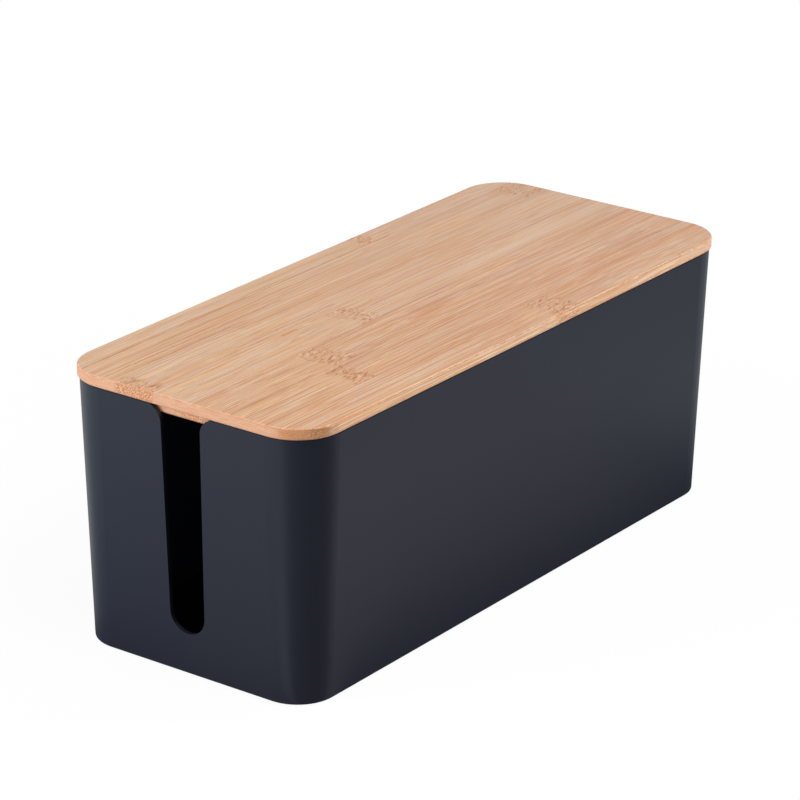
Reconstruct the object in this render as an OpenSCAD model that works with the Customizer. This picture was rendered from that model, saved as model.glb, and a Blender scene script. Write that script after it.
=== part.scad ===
// Cable management box: a drafted tub with round corners and a cable slot in each end wall,
// closed by a loose bamboo lid. The lid is two glued plies of bamboo staves: the face ply rests
// on the rim, and the smaller backing ply drops inside the rim and keeps the lid in place.
// Frame: +X along the box, +Z up, origin on the resting plane under the middle of the box.

/* [Box] */
// Overall length, over the lid
box_l = 323; // [240:1:420]
// Overall width, over the lid
box_w = 135; // [110:1:170]

/* [Lid] */
// Thickness of the face ply, which shows above the rim
face_t = 5.2; // [4:0.1:8]
// Bevel of the sanded edge round the top of the face ply
face_top_bevel = 0.5; // [0.2:0.1:1.5]
// Bevel of the edge round the underside of the face ply
face_bevel = 0.6; // [0.2:0.1:1]
// Thickness of the backing ply, which drops inside the rim
back_t = 4.3; // [2.5:0.1:8]
// Bevel of the lower edge of the backing ply
back_bevel = 0.8; // [0.3:0.1:1.5]
// How far the face ply reaches past the rim of the tub
overhang = 0.3; // [0:0.1:2]
// How much smaller the lid's corner radius is than the tub's
lid_corner_less = 1.2; // [0:0.1:2]
// Play between the backing ply and the inside of the rim
lid_play = 0.9; // [0.5:0.1:1.5]

/* [Bamboo staves] */
// Width left of the first face stave, on the +Y side, where the board is trimmed
face_first_w = 11.8; // [6:0.1:18]
// Width left of the last face stave; those between share the rest equally
face_last_w = 19.2; // [14:0.1:21]
// Width left of the first backing stave, on the +Y side
back_first_w = 17.6; // [8:0.1:22]
// Width left of the last backing stave; those between share the rest equally
back_last_w = 19.6; // [8:0.1:22]

/* [Tub] */
// Height of the tub, from its underside to its rim
tub_h = 122.5; // [90:1:150]
// Corner radius outside, at the rim
tub_r = 22.7; // [16:0.1:28]
// Thickness of the walls
wall_t = 2; // [1.8:0.1:3]
// Thickness of the floor
floor_t = 2.6; // [2.2:0.1:4]
// Draft of the walls, in degrees
draft = 2; // [0.5:0.1:2.5]
// Radius of the rim's two edges
rim_r = 0.6; // [0.3:0.1:0.8]
// Radius of the outer bottom edge
base_r = 1.2; // [0.8:0.1:2]
// Radius inside, between the walls and the floor
inner_r = 3; // [2:0.1:5]

/* [Cable slots] */
// Height of a slot's lowest point above the tub's underside
slot_sill_h = 19.3; // [10:0.1:60]
// Radius of a slot's round lower end
slot_end_r = 9.4; // [6:0.1:12]
// Lean of each side of a slot, which opens it upwards, in degrees
slot_taper = 0.8; // [0:0.05:1.5]
// Radius where a slot opens out at the rim
slot_mouth_r = 8; // [3:0.5:10]

/* [Feet] */
// Diameter of a foot pad
foot_d = 12; // [8:0.5:16]
// Thickness of a foot pad
foot_t = 1.6; // [1.2:0.1:2.5]
// How far a foot pad stands below the tub
foot_proud = 0.5; // [0.4:0.1:1.1]
// Radius of a foot pad's lower edge
foot_edge_r = 0.4; // [0.2:0.1:0.5]
// Play round a foot pad in its pocket
foot_play = 0.2; // [0.1:0.1:0.5]
// Distance of each foot's axis from the sides of the tub, at the rim
foot_inset = 24; // [18:1:40]

/* [Moulding gate] */
// Diameter of the shallow dimple round the gate, under the floor
gate_dimple_d = 9; // [6:0.5:14]
// Depth of the dimple
gate_dimple_t = 0.4; // [0.2:0.1:0.8]
// Diameter of the trimmed gate stub in the dimple
gate_stub_d = 2.4; // [1.5:0.1:4]

/* [Hidden] */
FACE_STAVES = 7;
BACK_STAVES = 6;
$fn = 96;

// Tub, outside, at its rim.
tub_l = box_l - 2 * overhang;
tub_w = box_w - 2 * overhang;
tub_z = foot_proud;
rim_z = tub_z + tub_h;

// Axes of the tub's round corners: they stand upright, and every level shares them.
tub_cx = tub_l / 2 - tub_r;
tub_cy = tub_w / 2 - tub_r;

// Face ply: the lid's outline.
face_r = tub_r - lid_corner_less;

// Backing ply: the inside of the rim, less the play. A drafted wall is wider when cut level.
back_inset = wall_t / cos(draft) + lid_play;
back_l = tub_l - 2 * back_inset;
back_w = tub_w - 2 * back_inset;
back_r = tub_r - back_inset;

bamboo = [0.84, 0.69, 0.55];
charcoal = [0.21, 0.215, 0.26];
rubber = [0.13, 0.13, 0.14];

overcut = 1; // how far a cutting shape runs past what it cuts
past_tangent = 1.001; // rounds are this much larger than tangent, and cross the flats cleanly
mouth_end_a = 84; // angle up from the horizontal at which a slot's mouth meets the rim

// Sweeps a section round a rectangle with round corners, whose axes lie at +-cx and +-cy. The
// section is drawn from the corner's axis outwards, and the middle is left open.
module sweep_round(cx, cy) {
    for (i = [0 : 3])
        translate([(i == 0 || i == 3) ? cx : -cx, i < 2 ? cy : -cy, 0])
            rotate([0, 0, 90 * i])
                rotate_extrude(angle = 90)
                    children();
    for (s = [-1, 1]) {
        // end, at s * X
        translate([s * cx, s * cy, 0])
            rotate([90, 0, s > 0 ? 0 : 180])
                linear_extrude(2 * cy)
                    children();
        // side, at s * Y
        translate([-s * cx, s * cy, 0])
            rotate([90, 0, s * 90])
                linear_extrude(2 * cx)
                    children();
    }
}

// Fills the middle that sweep_round leaves open.
module middle(cx, cy, h) {
    translate([-cx, -cy, 0])
        cube([2 * cx, 2 * cy, h]);
}

// What rounds off a corner of a section: the corner's two faces have the outward normals n1 and
// n2, and the round is drawn about centre.
module round_off(centre, r, n1, n2) {
    difference() {
        polygon([
            centre,
            centre + 2 * r * n1,
            centre + 2 * r * (n1 + n2),
            centre + 2 * r * n2,
        ]);
        translate(centre) circle(r * past_tangent);
    }
}

// Section of the tub from a corner's axis outwards: floor, drafted wall, rim and bottom edge.
module tub_section() {
    up = [0, 1];
    out = [cos(draft), -sin(draft)]; // square to the wall
    // The point at height z that lies this deep under the wall's outer face.
    function under_face(depth, z) = [tub_r - (depth + (tub_h - z) * sin(draft)) / cos(draft), z];

    difference() {
        polygon([[0, 0], under_face(0, 0), under_face(0, tub_h), [0, tub_h]]);
        difference() {
            polygon([
                [0, floor_t],
                under_face(wall_t, floor_t),
                under_face(wall_t, tub_h + overcut),
                [0, tub_h + overcut],
            ]);
            round_off(under_face(wall_t + inner_r, floor_t + inner_r), inner_r, -up, out);
        }
        round_off(under_face(base_r, base_r), base_r, -up, out);
        round_off(under_face(rim_r, tub_h - rim_r), rim_r, up, out);
        round_off(under_face(wall_t - rim_r, tub_h - rim_r), rim_r, up, -out);
    }
}

// Outline of a slot, across an end wall and up from the tub's underside.
module slot_outline() {
    // Outward normal of the right side, which leans outwards.
    n = [cos(slot_taper), -sin(slot_taper)];
    end_z = slot_sill_h + slot_end_r;
    function half_w(z) = slot_end_r / cos(slot_taper) + (z - end_z) * tan(slot_taper);

    // The mouth's rounds meet the rim just short of level, so that no edge is feathered.
    mouth_z = tub_h - slot_mouth_r * sin(mouth_end_a);
    mouth_c = [half_w(mouth_z) + slot_mouth_r / cos(slot_taper), mouth_z];
    mouth_end = mouth_c + slot_mouth_r * [-cos(mouth_end_a), sin(mouth_end_a)];
    right = [
        slot_end_r * n + [0, end_z],
        mouth_c - slot_mouth_r * n,
        mouth_c,
        mouth_end,
        [mouth_end.x, tub_h + overcut],
    ];
    left = [for (i = [len(right) - 1 : -1 : 0]) [-right[i].x, right[i].y]];
    translate([0, end_z]) circle(slot_end_r * past_tangent);
    difference() {
        polygon(concat([[0, end_z]], right, left));
        for (side = [-1, 1])
            translate([side * mouth_c.x, mouth_c.y]) circle(slot_mouth_r * past_tangent);
    }
}

// Puts its children at the feet in the list: near left, near right, far left, far right.
module at_feet(feet = [0 : 3]) {
    for (i = feet)
        translate([
            (i < 2 ? -1 : 1) * (tub_l / 2 - foot_inset),
            (i % 2 == 0 ? 1 : -1) * (tub_w / 2 - foot_inset),
            0,
        ])
            children();
}

module tub() {
    color(charcoal)
        translate([0, 0, tub_z])
            difference() {
                union() {
                    sweep_round(tub_cx, tub_cy) tub_section();
                    middle(tub_cx, tub_cy, floor_t);
                }
                // One straight cut through both end walls makes the two slots.
                translate([-tub_l / 2 - overcut, 0, 0])
                    rotate([90, 0, 90])
                        linear_extrude(tub_l + 2 * overcut)
                            slot_outline();
                // Pockets for the feet.
                at_feet()
                    translate([0, 0, -overcut])
                        cylinder(d = foot_d + 2 * foot_play, h = foot_t - foot_proud + overcut);
                // Dimple that keeps the trimmed gate stub off the table.
                difference() {
                    translate([0, 0, -overcut])
                        cylinder(d = gate_dimple_d, h = gate_dimple_t + overcut);
                    cylinder(d = gate_stub_d, h = gate_dimple_t);
                }
            }
}

// Section of a ply from a corner's axis outwards. Its upper edge is square if top_bevel is 0.
module ply_section(r, t, top_bevel, bevel) {
    top_edge = top_bevel > 0 ? [[r, t - top_bevel], [r - top_bevel, t]] : [[r, t]];
    polygon(concat([[0, 0], [r - bevel, 0], [r, bevel]], top_edge, [[0, t]]));
}

// A whole ply with round corners, before it is divided into staves.
module ply(l, w, r, t, top_bevel, bevel) {
    cx = l / 2 - r;
    cy = w / 2 - r;
    sweep_round(cx, cy) ply_section(r, t, top_bevel, bevel);
    middle(cx, cy, t);
}

// Keeps the i-th of count staves of a ply, from the +Y side. The outer two run to the ply's edge.
module stave(i, count, l, w, t, first_w, last_w) {
    stave_w = (w - first_w - last_w) / (count - 2);
    first_joint_y = w / 2 - first_w;
    y_high = i == 0 ? w / 2 + overcut : first_joint_y - (i - 1) * stave_w;
    y_low = i == count - 1 ? -w / 2 - overcut : first_joint_y - i * stave_w;
    intersection() {
        children();
        translate([-l / 2 - overcut, y_low, -overcut])
            cube([l + 2 * overcut, y_high - y_low, t + 2 * overcut]);
    }
}

module lid_face_stave(i) {
    color(bamboo)
        translate([0, 0, rim_z])
            stave(i, FACE_STAVES, box_l, box_w, face_t, face_first_w, face_last_w)
                ply(box_l, box_w, face_r, face_t, face_top_bevel, face_bevel);
}

module lid_backing_stave(i) {
    color(bamboo)
        translate([0, 0, rim_z - back_t])
            stave(i, BACK_STAVES, back_l, back_w, back_t, back_first_w, back_last_w)
                ply(back_l, back_w, back_r, back_t, 0, back_bevel);
}

// A moulded rubber pad, glued into its pocket under the tub.
module foot(i) {
    color(rubber)
        at_feet([i])
            rotate_extrude()
                difference() {
                    square([foot_d / 2, foot_t]);
                    round_off([foot_d / 2 - foot_edge_r, foot_edge_r], foot_edge_r, [0, -1], [1, 0]);
                }
}

tub();
for (i = [0 : FACE_STAVES - 1])
    lid_face_stave(i);
for (i = [0 : BACK_STAVES - 1])
    lid_backing_stave(i);
foot(0);  // foot_near_left
foot(1);  // foot_near_right
foot(2);  // foot_far_left
foot(3);  // foot_far_right
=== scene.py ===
import math

import bpy
from mathutils import Matrix, Vector


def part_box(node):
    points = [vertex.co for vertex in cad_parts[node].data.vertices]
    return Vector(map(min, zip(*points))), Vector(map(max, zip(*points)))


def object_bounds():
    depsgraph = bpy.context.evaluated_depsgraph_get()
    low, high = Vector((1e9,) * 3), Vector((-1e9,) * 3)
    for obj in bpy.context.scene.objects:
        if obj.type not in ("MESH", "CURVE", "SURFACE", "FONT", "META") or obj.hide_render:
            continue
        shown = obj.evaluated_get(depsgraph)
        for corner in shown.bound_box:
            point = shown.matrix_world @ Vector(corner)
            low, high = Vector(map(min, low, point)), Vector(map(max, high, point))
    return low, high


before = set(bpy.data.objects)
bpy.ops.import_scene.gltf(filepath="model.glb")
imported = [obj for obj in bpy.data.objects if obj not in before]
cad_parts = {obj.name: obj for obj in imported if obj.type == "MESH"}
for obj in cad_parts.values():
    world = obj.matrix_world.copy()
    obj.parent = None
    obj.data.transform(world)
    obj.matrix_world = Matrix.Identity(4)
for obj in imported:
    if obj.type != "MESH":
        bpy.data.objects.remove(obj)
cad_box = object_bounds()

MM = 0.001
WHITE = (1, 1, 1, 1)

# Camera: where it stands round the box, in degrees, how far it is turned about its own axis, and
# its distance in metres.
CAMERA_AZIMUTH = -53.71
CAMERA_ELEVATION = 21.5
CAMERA_ROLL = 0.42
CAMERA_DISTANCE = 1.7818
CAMERA_LENS_MM = 174.74
CAMERA_SENSOR_MM = 36
# The point that it looks at, in metres to the right of the origin and above it in the picture.
CAMERA_AIM_SIDE = -0.0036
CAMERA_AIM_HEIGHT = 0.0723


def direction(azimuth, elevation):
    """The unit vector from the box towards a place round it. Azimuth 0 is at -Y, and 90 at +X."""
    a, e = math.radians(azimuth), math.radians(elevation)
    return Vector((math.sin(a) * math.cos(e), -math.cos(a) * math.cos(e), math.sin(e)))


def make_camera():
    data = bpy.data.cameras.new("camera")
    data.lens = CAMERA_LENS_MM
    data.sensor_width = CAMERA_SENSOR_MM
    camera = bpy.data.objects.new("camera", data)
    bpy.context.scene.collection.objects.link(camera)
    back = direction(CAMERA_AZIMUTH, CAMERA_ELEVATION)
    right = Vector((0, 0, 1)).cross(back).normalized()
    up = back.cross(right)
    roll = Matrix.Rotation(math.radians(CAMERA_ROLL), 3, back)
    axes = Matrix((roll @ right, roll @ up, back)).transposed()
    aim = right * CAMERA_AIM_SIDE + up * CAMERA_AIM_HEIGHT
    camera.matrix_world = Matrix.Translation(aim + back * CAMERA_DISTANCE) @ axes.to_4x4()
    bpy.context.scene.camera = camera


# ---- Material nodes ----


def linear(r, g, b):
    """A colour given as sRGB values from 0 to 255, as the nodes take it."""
    def channel(c):
        c = c / 255
        return c / 12.92 if c <= 0.04045 else ((c + 0.055) / 1.055) ** 2.4
    return (channel(r), channel(g), channel(b), 1)


def add(tree, kind, inputs=None, **settings):
    """Adds a node to a tree. inputs gives numbers, colours, Fields or outputs for its sockets."""
    node = tree.nodes.new("ShaderNode" + kind)
    for name, value in settings.items():
        setattr(node, name, value)
    for name, value in (inputs or {}).items():
        value = getattr(value, "socket", value)
        if isinstance(value, bpy.types.NodeSocket):
            tree.links.new(value, node.inputs[name])
        else:
            node.inputs[name].default_value = value
    return node


class Field:
    """A number that varies over a surface: a node's output, whose arithmetic adds nodes."""

    def __init__(self, tree, socket):
        self.tree = tree
        self.socket = socket

    def math(self, operation, *others):
        node = add(self.tree, "Math", dict(enumerate((self, *others))), operation=operation)
        return Field(self.tree, node.outputs[0])

    def __add__(self, other):
        return self.math("ADD", other)

    def __sub__(self, other):
        return self.math("SUBTRACT", other)

    def __mul__(self, other):
        return self.math("MULTIPLY", other)

    def __rsub__(self, other):
        return self * -1 + other

    __radd__ = __add__
    __rmul__ = __mul__

    def at_least(self, other):
        return self.math("MAXIMUM", other)

    def at_most(self, other):
        return self.math("MINIMUM", other)

    def distance(self, value):
        """How far it is from a value."""
        return (self - value).math("ABSOLUTE")

    def rise(self, start, end):
        """A smooth step: 0 up to start and 1 from end on.

        Where end is below start, it is 0 above start and 1 below end."""
        ends = {"Value": self, "From Min": start, "From Max": end}
        node = add(self.tree, "MapRange", ends, interpolation_type="SMOOTHSTEP")
        return Field(self.tree, node.outputs[0])


class Graph:
    """The nodes of one material."""

    def __init__(self, name):
        self.material = bpy.data.materials.new(name)
        self.material.use_nodes = True
        self.tree = self.material.node_tree
        self.tree.nodes.clear()

    def field(self, node, output=0):
        return Field(self.tree, node.outputs[output])

    def vector(self, x, y, z):
        return self.field(add(self.tree, "CombineXYZ", {0: x, 1: y, 2: z}))

    def parts(self, vector):
        """The x, y and z of a vector."""
        node = add(self.tree, "SeparateXYZ", {0: vector})
        return [self.field(node, i) for i in range(3)]

    def place(self):
        """Where a point is in the part, in millimetres: x, y and z."""
        coordinates = add(self.tree, "TexCoord").outputs["Object"]
        return [part * (1 / MM) for part in self.parts(coordinates)]

    def normal(self):
        """Which way the surface faces: the x, y and z of its unit normal in the part."""
        return self.parts(add(self.tree, "TexCoord").outputs["Normal"])

    def noise(self, vector, scale=1, detail=0, roughness=0.5, distortion=0):
        inputs = {"Vector": vector, "Scale": scale, "Detail": detail,
                  "Roughness": roughness, "Distortion": distortion}
        return self.field(add(self.tree, "TexNoise", inputs))

    def cells(self, vector, scale=1, dimensions="3D"):
        """How far the nearest of some scattered points is, in cells."""
        inputs = {"Vector": vector, "Scale": scale}
        return self.field(add(self.tree, "TexVoronoi", inputs, voronoi_dimensions=dimensions))

    def mix(self, share, a, b, how="MIX"):
        """Colour a, with a share of colour b over it."""
        inputs = {0: share, 6: a, 7: b}
        return self.field(add(self.tree, "Mix", inputs, data_type="RGBA", blend_type=how), 2)

    def tint(self, share, colour, factor):
        """A colour, a share of the way to what it is when multiplied by a factor."""
        return self.mix(share, colour, factor, how="MULTIPLY")

    def bump(self, height, distance):
        """The normal over a surface whose height, from 0 to 1, spans a distance in metres."""
        return self.field(add(self.tree, "Bump", {"Height": height, "Distance": distance}))

    def finish(self, **sockets):
        """Ends the nodes in a Principled shader, and gives the material."""
        inputs = {name.replace("_", " "): value for name, value in sockets.items()}
        shader = add(self.tree, "BsdfPrincipled", inputs)
        add(self.tree, "OutputMaterial", {0: shader.outputs[0]})
        return self.material


def dress(node, material):
    """Gives a node of the frame its material."""
    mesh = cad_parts[node].data
    mesh.materials.clear()
    mesh.materials.append(material)


# ---- Tub ----

CHARCOAL = linear(30, 32, 44)
CHARCOAL_RUBBED = linear(33, 36, 48)
# Painted shade on the slots' sides: this colour, up to this far from the tub's long axis, in mm.
CHARCOAL_SLOT_SHADE = linear(14, 15, 22)
SLOT_SHADE_REACH = 13


def plastic():
    """Charcoal plastic from a finely eroded mould: a matt grain, faint marks of handling, and
    painted shade on the slots' sides.
    """
    g = Graph("tub_plastic")
    x, y, z = g.place()
    grain = g.noise(g.vector(x, y, z), scale=3.2, detail=2, roughness=0.6)
    cloud = g.noise(g.vector(x, y, z), scale=0.02, detail=3)
    colour = g.mix(cloud * 0.5, CHARCOAL, CHARCOAL_RUBBED)
    _, normal_y, _ = g.normal()
    # Painted shade: the slots' sides, which face along Y, are darkened near the tub's long axis.
    in_slot = y.distance(0).rise(SLOT_SHADE_REACH, SLOT_SHADE_REACH - 1)
    painted_slot_shade = normal_y.distance(0).rise(0.6, 0.9) * in_slot
    return g.finish(
        Base_Color=g.mix(painted_slot_shade, colour, CHARCOAL_SLOT_SHADE),
        Roughness=0.28 + 0.1 * cloud + 0.05 * grain,
        IOR=1.45,
        Normal=g.bump(grain, distance=0.02 * MM),
    )


# ---- Feet ----

RUBBER = linear(30, 30, 32)
RUBBER_DUST = linear(92, 90, 88)


def rubber():
    """Black rubber pads with a little dust on them."""
    g = Graph("foot_rubber")
    x, y, z = g.place()
    grain = g.noise(g.vector(x, y, z), scale=2, detail=3)
    dust = g.noise(g.vector(x, y, z), scale=0.4, detail=4).rise(0.5, 0.75)
    return g.finish(
        Base_Color=g.mix(dust * 0.35, RUBBER, RUBBER_DUST),
        Roughness=0.75 + 0.15 * dust,
        Normal=g.bump(grain, distance=0.06 * MM),
    )


def dress_feet():
    for foot in ("near_left", "near_right", "far_left", "far_right"):
        dress("foot_" + foot, rubber())


# ---- Bamboo ----

BAMBOO_PALE = linear(222, 192, 165)
BAMBOO = linear(214, 173, 138)
BAMBOO_TAN = linear(205, 151, 117)
BAMBOO_FIBRE = linear(188, 128, 92)
BAMBOO_KNOT = linear(172, 108, 60)
BAMBOO_FLECK = linear(233, 206, 177)
BAMBOO_SMOOTH = linear(218, 181, 148)
BAMBOO_END = linear(210, 168, 140)
# What the hue of a stretch of fibres is multiplied by, at its coolest and its warmest.
COOL = (0.95, 0.99, 1.07, 1)
WARM = (1.05, 1.01, 0.92, 1)
# What the colour is multiplied by: at the lid's far end; on its long edges, as painted light;
# round the near corner and the one opposite, as painted shade; and where such a corner turns into
# a long edge, as more painted shade.
FAR_END = (1, 1, 1.07, 1)
LONG_EDGE_LIGHT = (1.07, 1.18, 1.2, 1)
CORNER_SHADE = (0.88, 0.76, 0.62, 1)
CORNER_SIDE_SHADE = (0.83, 0.83, 0.83, 1)

# Heights of the face ply's underside and top, and of the thin brown lines round the face ply and
# the backing ply, in mm.
LID_BOTTOM, LID_TOP = [corner.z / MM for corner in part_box("lid_face_stave_1")]
FACE_LINE = LID_BOTTOM + 1
BACKING_LINE = LID_BOTTOM - 1.7

# The face staves, from +Y to -Y:
# - knot: where its middle is along X and half its length, in mm, and its strength
# - tone: how far the ground goes from pale towards tan
# - contrast: the strength of the streaks
# - dots: the strength of the dots in the end grain
# - marks: brown strokes, each with its two ends (X, Y) and half width, in mm, and its strength
FACE_STAVES = (
    dict(knot=(47, 5, 1), tone=-0.16, contrast=0.65, dots=0.15, marks=(
        ((-158, 55.9), (60, 55.8), 0.5, 0.6),
    )),
    dict(knot=(152, 9, 0.5), tone=-0.04, contrast=0.65, dots=0.15, marks=(
        ((-158, 55.6), (60, 55.5), 0.5, 0.6),
        ((-162, 41.9), (-40, 41.6), 0.6, 0.7),
        ((-162, 37.6), (-70, 37.4), 0.6, 0.6),
        ((140, 52), (160, 46), 9, 0.2),
    )),
    dict(knot=(-158, 6, 1), tone=-0.04, contrast=0.7, dots=0.95, marks=(
        ((-160, 30), (-155, 28), 2.4, 0.6),
        ((-158, 20), (-152, 18), 2, 0.6),
        ((-114, 19.2), (-30, 19), 0.6, 0.7),
        ((-110, 16.8), (-50, 16.6), 0.8, 0.35),
        ((-78, 33), (-25, 32), 4, 0.2),
    )),
    dict(knot=(-35, 7, 1), tone=-0.09, contrast=0.85, dots=0.15, marks=(
        ((-75, 12.8), (-65, 13), 1, 0.5),
    )),
    dict(knot=(-83, 8, 1), tone=0.09, contrast=1.15, dots=0.15, marks=(
        ((-90, -8), (-92, -14), 1, 0.5),
        ((-92, -14), (-90, -21), 1, 0.5),
        ((-88, -8.4), (-60, -7.2), 0.7, 0.6),
        ((-162, -23), (-125, -24), 0.7, 0.6),
        ((-162, -27.2), (-118, -27.3), 0.7, 0.6),
        ((-78, -26), (-76, -27), 1.4, 0.7),
    )),
    dict(knot=(-94, 6, 1), tone=0.12, contrast=1.15, dots=0.15, marks=(
        ((-99, -30.5), (-93, -31), 2, 0.6),
        ((-94, -38), (-91, -41), 2, 0.7),
        ((-92, -45), (-90, -47), 1.8, 0.6),
        ((-95, -36), (-88, -36), 1.4, 0.5),
        ((112, -43), (138, -43), 6, 0.2),
    )),
    dict(knot=(28, 9, 1), tone=0.14, contrast=1.2, dots=0.15, marks=()),
)
# The backing staves, from +Y to -Y: the middle of the knot along X, in mm, and the strength of
# the dots in the end grain. In all else they are alike.
BACKING_STAVES = ((-52, 0.35), (88, 0.35), (12, 0.35), (-112, 0.9), (126, 0.35), (-70, 0.35))
BACKING_KNOT_HALF = 7
BACKING_TONE = 0.05


def stroke(x, y, start, end, half_width):
    """1 on a line drawn between two points of the lid, fading to 0 at its half width."""
    start, end = Vector(start), Vector(end)
    line = end - start
    x, y = x - start.x, y - start.y
    share = (x * line.x + y * line.y) * (1 / line.length_squared)
    share = share.at_most(1).at_least(0)
    x, y = x - share * line.x, y - share * line.y
    return (x * x + y * y).math("SQRT").rise(half_width, half_width * 0.3)


class Stave:
    """One stave of bamboo, cut from the wall of a cane, with its fibres along X.

    The fibres are noise that varies slowly along X and quickly across it. The scales are per
    millimetre, and the seed makes each stave's noise its own."""

    def __init__(self, name, seed, knot, tone, contrast, dots, marks=()):
        self.g = g = Graph(name)
        self.seed = seed
        self.contrast = contrast
        self.dots = dots
        self.marks = marks

        # Which way the surface faces, and 1 where it cuts straight across the fibres.
        self.normal_x, self.normal_y, _ = g.normal()
        self.ends = self.normal_x.distance(0).rise(0.55, 0.8)

        # The fibres wander a little. y and z follow them, and across and height don't.
        self.x, self.across, self.height = x, across, height = g.place()
        drift = g.vector(x * 0.01 + seed, across * 0.05, height * 0.05)
        y = across + (g.noise(drift, detail=1) - 0.5) * 1.5
        self.z = z = height + (g.noise(drift, scale=1.7) - 0.5) * 3

        # The knot's outline is ragged. At its near edge the wood is smooth and the fibres curl.
        middle, half, strength = knot
        ragged = g.noise(g.vector(seed, y * 0.22, z * 0.2), detail=2) * 12 - 6
        along = x + ragged - middle
        self.knot = along.distance(0).rise(half + 2, half - 3) * strength
        self.smooth = along.distance(-half - 5).rise(12, 2) * strength
        bent = along.distance(-half).rise(26, 4) * strength
        self.curl = g.noise(g.vector(x * 0.13, y * 0.25 + seed, z * 0.3), detail=2) - 0.5
        self.y = y = y + self.curl * bent * 3

        # Streaks of four widths. All but the broad ones are weaker where the wood is smooth and
        # at the far end.
        self.far = x.rise(-100, 120)
        self.hairs = g.noise(g.vector(x * 0.02 + seed, y * 2.8, z * 2.8), detail=1) - 0.5
        self.fine = g.noise(g.vector(x * 0.008 + seed, y * 1.3, z * 1.3), detail=1) - 0.5
        bands = g.noise(g.vector(x * 0.006, y * 0.55 + seed, z * 0.5), detail=1) - 0.5
        broad = g.noise(g.vector(x * 0.008, y * 0.12, z * 0.12 + seed)) - 0.5
        grain = 2.3 * self.hairs + 1.2 * self.fine + 0.5 * bands
        grain = grain * ((1 - 0.4 * self.smooth) * (1.1 - 0.3 * self.far) * contrast)
        self.ground = 0.5 + grain + 0.5 * broad - 0.08 * self.far + tone

        # Short flecks, brown and pale, that lie aslant.
        aslant = g.vector(x * 0.26 + seed, y * 0.9 - x * 0.2, z)
        self.brown = g.noise(aslant, detail=2, distortion=0.2).rise(0.5, 0.66)
        self.pale = g.noise(aslant, scale=1.1, detail=2, distortion=0.2).rise(0.46, 0.36)

    def material(self, sides):
        """The stave's material. sides says where its two long sides are: Y in mm."""
        colour = self.ground_colour()
        colour = self.add_lines(colour)
        colour = self.add_knot(colour)
        colour = self.add_marks(colour)
        colour = self.add_joints(colour, sides)
        colour = self.add_end_grain(colour)
        colour = self.add_corners(colour)
        colour = self.add_edge_lines(colour)
        return self.g.finish(
            Base_Color=colour,
            Roughness=0.6 + 0.2 * self.fine,
            Specular_IOR_Level=0.1,
            Normal=self.g.bump(self.fine + 0.3 * self.hairs, distance=0.05 * MM),
        )

    def ground_colour(self):
        """Pale to tan along the streaks, with warmer and cooler stretches."""
        g, x = self.g, self.x
        colour = g.mix(self.ground.rise(0.05, 0.6), BAMBOO_PALE, BAMBOO)
        colour = g.mix(self.ground.rise(0.45, 1.05), colour, BAMBOO_TAN)
        stretches = g.vector(x * 0.012 + self.seed, self.y * 0.3, self.z * 0.3)
        warmth = g.noise(stretches, scale=1.3, detail=2).rise(0.25, 0.75)
        colour = g.tint(1, colour, g.mix(warmth, COOL, WARM))
        colour = g.tint(x.rise(-170, 170), colour, FAR_END)
        return g.mix(self.smooth * 0.25, colour, BAMBOO_SMOOTH)

    def add_lines(self, colour):
        """Long dark and light lines, and a faint cross weave in some areas."""
        g, x, y, z, seed = self.g, self.x, self.y, self.z, self.seed
        plain = 1 - 0.55 * (self.smooth + self.knot).at_most(1)
        line = g.vector(y * 0.9 + z * 0.8 + seed, x * 0.0022, 0)
        dark = g.cells(line, dimensions="2D").rise(0.3, 0.08)
        dark = dark + g.cells(line, scale=0.4, dimensions="2D").rise(0.16, 0.05)
        depth = (1.2 - 0.5 * self.far) * (0.25 + 0.18 * self.contrast)
        colour = g.mix(dark * depth * plain, colour, BAMBOO_FIBRE)
        light = g.noise(g.vector(x * 0.01, y * 1.1, z * 0.8 - seed), detail=1)
        light = light.distance(0.5).rise(0.02, 0)
        colour = g.mix(light * 0.35 * plain * self.contrast, colour, BAMBOO_FLECK)
        area = g.noise(g.vector(x * 0.012, y * 0.12, z * 0.2 + seed), detail=1).rise(0.45, 0.6)
        weave = g.noise(g.vector(x * 1.1, y * 1.5, z * 1.5 + seed), detail=1).rise(0.5, 0.7)
        return g.mix(area * weave * 0.22, colour, BAMBOO_FIBRE)

    def add_knot(self, colour):
        """The knot: a tan patch with brown and pale flecks."""
        g = self.g
        colour = g.mix(self.knot * 0.3, colour, BAMBOO_TAN)
        colour = g.mix(self.knot * self.brown * 0.8, colour, BAMBOO_KNOT)
        return g.mix(self.knot * self.pale * 0.5, colour, BAMBOO_FLECK)

    def add_marks(self, colour):
        """The brown strokes, which curl with the fibres and are broken up by hairs and flecks."""
        broken = 0.7 + 2 * self.hairs + 0.5 * self.brown
        for start, end, half_width, strength in self.marks:
            drawn = stroke(self.x, self.across + self.curl * 1.5, start, end, half_width)
            colour = self.g.mix(drawn * strength * broken, colour, BAMBOO_FIBRE)
        return colour

    def add_joints(self, colour, sides):
        """Thin glue lines along both sides, darker in some places than in others."""
        g = self.g
        rub = g.noise(g.vector(self.x * 0.03 + self.seed, self.y, self.z), detail=2)
        one, other = [self.across.distance(side).rise(0.28, 0.08) for side in sides]
        return g.mix((one + other) * rub.rise(0.4, 0.6) * 0.5, colour, BAMBOO_FIBRE)

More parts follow.
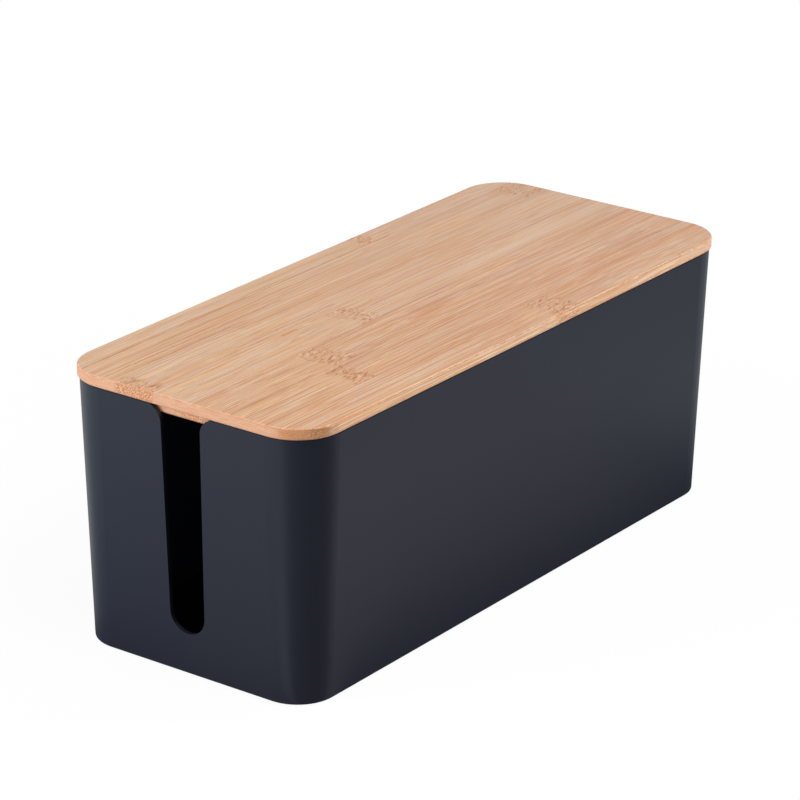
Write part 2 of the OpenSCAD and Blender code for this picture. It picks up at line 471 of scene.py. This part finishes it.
    def add_end_grain(self, colour):
        """End grain on the lid's ends: layers, and the dots of the cane's vessels."""
        g, y, z, seed = self.g, self.y, self.z, self.seed
        layers = g.noise(g.vector(y * 0.12 + seed, z * 2.4, 0), detail=2).rise(0.48, 0.68)
        dots = g.cells(g.vector(y + seed, z, 0), scale=1.2, dimensions="2D").rise(0.5, 0.2)
        end_colour = g.mix(self.ground.rise(0, 1) * 0.25, BAMBOO_END, BAMBOO_TAN)
        end_colour = g.mix(layers * 0.5, end_colour, BAMBOO_FIBRE)
        end_colour = g.mix(dots * self.dots, end_colour, BAMBOO_KNOT)
        return g.mix(self.ends, colour, end_colour)

    def add_corners(self, colour):
        """Painted shade and hatched wood round the near corner and its opposite, and painted light
        on long edges.
        """
        g, x, y, z = self.g, self.x, self.y, self.z
        turn = self.normal_x * self.normal_y
        sideways = self.normal_y.distance(0)
        # Painted shade: the near corner and the one opposite are darkened, more so where they turn
        # into a long edge.
        corner = turn.rise(0.14, 0.38)
        hatch = g.cells(g.vector(x * 0.6, y * 1.3, z * 1.3 + x * 0.5)).rise(0.5, 0.25)
        colour = g.tint(corner, colour, CORNER_SHADE)
        colour = g.tint(turn.rise(0, 0.1) * sideways.rise(0.76, 0.85), colour, CORNER_SIDE_SHADE)
        colour = g.mix(corner * hatch * 0.55, colour, BAMBOO_KNOT)
        # Painted light: the faces along the long edges are brightened.
        return g.tint(sideways.rise(0.96, 0.995), colour, LONG_EDGE_LIGHT)

    def add_edge_lines(self, colour):
        """Brown, patchy lines: on the bevel of the top edge, and round both plies."""
        g, height = self.g, self.height
        patchy = g.noise(g.vector(self.x * 0.3, self.y * 0.3, self.seed), detail=2)
        patchy = patchy.rise(0.35, 0.6)
        bevel = height.rise(LID_TOP - 0.8, LID_TOP - 0.5)
        bevel = bevel * height.rise(LID_TOP - 0.1, LID_TOP - 0.3)
        colour = g.mix(bevel * (0.1 + 0.6 * patchy), colour, BAMBOO_FIBRE)
        lines = height.distance(FACE_LINE).rise(0.4, 0.15) * (1 - 0.7 * self.ends)
        lines = lines + height.distance(BACKING_LINE).rise(0.45, 0.2)
        return g.mix(lines * (0.1 + 0.5 * patchy), colour, BAMBOO_FIBRE)


def dress_stave(node, **look):
    low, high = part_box(node)
    dress(node, Stave(node, **look).material(sides=(low.y / MM, high.y / MM)))


def dress_lid():
    """Each stave has a material of its own. Its seed is one that no other stave has."""
    for number, look in enumerate(FACE_STAVES, start=1):
        dress_stave(f"lid_face_stave_{number}", seed=7.3 * number, **look)
    for number, (knot_middle, dots) in enumerate(BACKING_STAVES, start=1):
        dress_stave(f"lid_backing_stave_{number}", seed=60 + 5.1 * number, tone=BACKING_TONE,
                    contrast=1, dots=dots, knot=(knot_middle, BACKING_KNOT_HALF, 1))


# ---- Studio ----


def camera_ray(tree):
    """1 for rays from the camera, and 0 for all others."""
    return Field(tree, add(tree, "LightPath").outputs["Is Camera Ray"])


def glossy_ray(tree):
    """1 for rays that a glossy surface has reflected, and 0 for all others."""
    return Field(tree, add(tree, "LightPath").outputs["Is Glossy Ray"])


WORLD_LIGHT = 0.2


def make_world():
    """White to the camera, and a soft grey light on the box."""
    world = bpy.data.worlds.new("studio")
    world.use_nodes = True
    tree = world.node_tree
    tree.nodes.clear()
    strength = WORLD_LIGHT + (1 - WORLD_LIGHT) * camera_ray(tree)
    light = add(tree, "Background", {"Color": WHITE, "Strength": strength})
    add(tree, "OutputWorld", {0: light.outputs[0]})
    bpy.context.scene.world = world


# The floor is square, and reaches this far from the middle of the box, in metres.
FLOOR_REACH = 12
# The floor's colour where the camera sees it, and the one with which it lights the box.
FLOOR_SEEN = (0.92, 0.92, 0.92, 1)
FLOOR_BOUNCE = (0.3, 0.3, 0.3, 1)
# The share of plain white in what the camera sees near the box, and how far from its middle that
# share starts to grow and is full.
FLOOR_GLOW = 0.94
FLOOR_LIT = 150 * MM
FLOOR_WHITE = 450 * MM
# Half the length and width of the floor under the box, which glows for the underside, how wide
# its soft edge is, and how bright it is in the tub's glossy sides.
UNDER_BOX = (151 * MM, 56 * MM)
UNDER_BOX_EDGE = 2 * MM
UNDER_BOX_MIRRORED = 0.4

# How bright the floor is in the tub's glossy sides: beside the box, and how fast that rises, per
# metre, to the brightness of the open floor.
LEFT_SIDE = (0.3, 1.5, 0.82)
RIGHT_SIDE = (0.1, 4, 0.48)
# How much darker it is further out on the right, and how much brighter behind the box.
RIGHT_DIMMED = 0.14
BEHIND = 0.2
# Its tint where the left side reflects it, and the share of that tint for the far end of the
# right side.
COOL_LIGHT = (0.82, 1, 1.05, 1)
COOL_FAR_END = 0.6
# The photographer's side of the set is dark. Seen from this point, its middle is this far round,
# and it is this bright.
DARK_FROM = Vector((-150 * MM, -56 * MM, 0))
DARK_AZIMUTH = -20
DARK_SIDE = 0.11
# How much brighter the floor is on both flanks of the dark side, and how much more on the left.
FLANK = 0.14
FLANK_LEFT = 0.25


def beside_box(x, y):
    """How far a place is from the box, seen from above, in metres."""
    x = (x.distance(0) - cad_box[1].x).at_least(0)
    y = (y.distance(0) - cad_box[1].y).at_least(0)
    return (x * x + y * y).math("SQRT")


def under_box(x, y):
    """1 at a place under the box, and 0 beside it."""
    half_x, half_y = UNDER_BOX
    within_x = x.distance(0).rise(half_x, half_x - UNDER_BOX_EDGE)
    within_y = y.distance(0).rise(half_y, half_y - UNDER_BOX_EDGE)
    return within_x * within_y


def facing_dark(g, place):
    """How far a place lies towards the middle of the dark side: the cosine of the angle to it."""
    out = add(g.tree, "VectorMath", {0: place, 1: DARK_FROM}, operation="SUBTRACT").outputs[0]
    out = add(g.tree, "VectorMath", {0: out}, operation="NORMALIZE").outputs[0]
    towards = {0: out, 1: direction(DARK_AZIMUTH, 0)}
    return g.field(add(g.tree, "VectorMath", towards, operation="DOT_PRODUCT"), "Value")


def mirror_light(g, place):
    """How bright a place on the floor is in the tub's glossy sides, and its colour."""
    x, y, _ = g.parts(place)
    beside = beside_box(x, y)
    left, right = [
        (near + slope * beside).at_most(far) for near, slope, far in (LEFT_SIDE, RIGHT_SIDE)
    ]
    right = right - RIGHT_DIMMED * beside.rise(150 * MM, 230 * MM) * y.rise(-150 * MM, -190 * MM)
    light = right + (left - right) * x.rise(-100 * MM, -250 * MM)
    light = light + BEHIND * y.rise(60 * MM, 90 * MM) * x.rise(-200 * MM, -140 * MM)

    dark = facing_dark(g, place)
    flanks = dark.rise(0, 0.25) * dark.rise(0.55, 0.45) * beside.rise(300 * MM, 0)
    light = light + flanks * (FLANK + FLANK_LEFT * x.rise(-150 * MM, -175 * MM))
    light = light + (DARK_SIDE - light) * dark.rise(0.44, 0.56)

    # The tint starts at slanting lines on the floor.
    cool = (y + 0.73 * x + 117 * MM).rise(-15 * MM, 30 * MM) * x.rise(-140 * MM, -170 * MM)
    far_end = (x + 1.36 * y + 92 * MM).rise(100 * MM, 135 * MM) * y.rise(-60 * MM, -90 * MM)
    return light, g.mix(cool + COOL_FAR_END * far_end, WHITE, COOL_LIGHT)


def blend(tree, share, first, second):
    """One shader, with a share of a second one over it."""
    return add(tree, "MixShader", {0: share, 1: first.outputs[0], 2: second.outputs[0]})


def floor_material():
    """Pale and matt: it takes the box's shadow near the box, and is plain white further away.

    It can't be seen from below, so that the box's underside can be looked at."""
    g = Graph("floor")
    tree = g.tree
    place = add(tree, "NewGeometry").outputs["Position"]
    white = add(tree, "Emission", {"Color": WHITE, "Strength": 1.0})

    away = g.field(add(tree, "VectorMath", {0: place}, operation="LENGTH"), "Value")
    glow = FLOOR_GLOW + (1 - FLOOR_GLOW) * away.rise(FLOOR_LIT, FLOOR_WHITE)
    pale = add(tree, "BsdfDiffuse", {"Color": FLOOR_SEEN})
    seen = blend(tree, glow, pale, white)

    x, y, _ = g.parts(place)
    under = under_box(x, y)
    grey = add(tree, "BsdfDiffuse", {"Color": FLOOR_BOUNCE})
    bounced = blend(tree, under, grey, white)
    light, tint = mirror_light(g, place)
    light = light + (UNDER_BOX_MIRRORED - light) * under
    mirrored = add(tree, "Emission", {"Color": tint, "Strength": light})
    unseen = blend(tree, glossy_ray(tree), bounced, mirrored)

    from_above = blend(tree, camera_ray(tree), unseen, seen)
    below = add(tree, "NewGeometry").outputs["Backfacing"]
    one_sided = blend(tree, below, from_above, add(tree, "BsdfTransparent"))
    add(tree, "OutputMaterial", {0: one_sided.outputs[0]})
    # The floor glows, but isn't sampled as a lamp, which would draw a line on the underside.
    g.material.cycles.emission_sampling = "NONE"
    return g.material


def make_floor():
    mesh = bpy.data.meshes.new("floor")
    edge = FLOOR_REACH
    mesh.from_pydata([(-edge, -edge, 0), (edge, -edge, 0), (edge, edge, 0), (-edge, edge, 0)],
                     [], [(0, 1, 2, 3)])
    mesh.materials.append(floor_material())
    floor = bpy.data.objects.new("floor", mesh)
    bpy.context.scene.collection.objects.link(floor)


# The lamps point at about the middle of the box. Each stands at an azimuth and elevation in
# degrees and a distance in metres. Its size is the length of a side, in metres, and its power is
# in watts. Only the mirrored one shows in reflections.
LAMP_AIM = Vector((0, 0, 60 * MM))
LAMPS = (
    dict(name="left", azimuth=-115, elevation=12, distance=1.2, size=0.5, power=10.5),
    dict(name="far_left", azimuth=-170, elevation=12, distance=1.2, size=0.5, power=2),
    dict(name="front", azimuth=-20, elevation=60, distance=1.2, size=0.8, power=9.2,
         mirrored=True),
    dict(name="right", azimuth=57, elevation=12, distance=2.2, size=1.1, power=43),
    dict(name="fill", azimuth=-54, elevation=8, distance=1.2, size=0.4, power=2.5),
)


def make_lamp(name, azimuth, elevation, distance, size, power, mirrored=False):
    """A square softbox."""
    data = bpy.data.lights.new(name, "AREA")
    data.size = size
    data.energy = power
    lamp = bpy.data.objects.new(name, data)
    lamp.visible_glossy = mirrored
    bpy.context.scene.collection.objects.link(lamp)
    towards = direction(azimuth, elevation)
    lamp.location = LAMP_AIM + towards * distance
    lamp.rotation_mode = "QUATERNION"
    lamp.rotation_quaternion = towards.to_track_quat("Z", "Y")


make_camera()
dress("tub", plastic())
dress_feet()
dress_lid()
make_world()
make_floor()
for lamp in LAMPS:
    make_lamp(**lamp)
bpy.context.scene.view_settings.view_transform = "Standard"
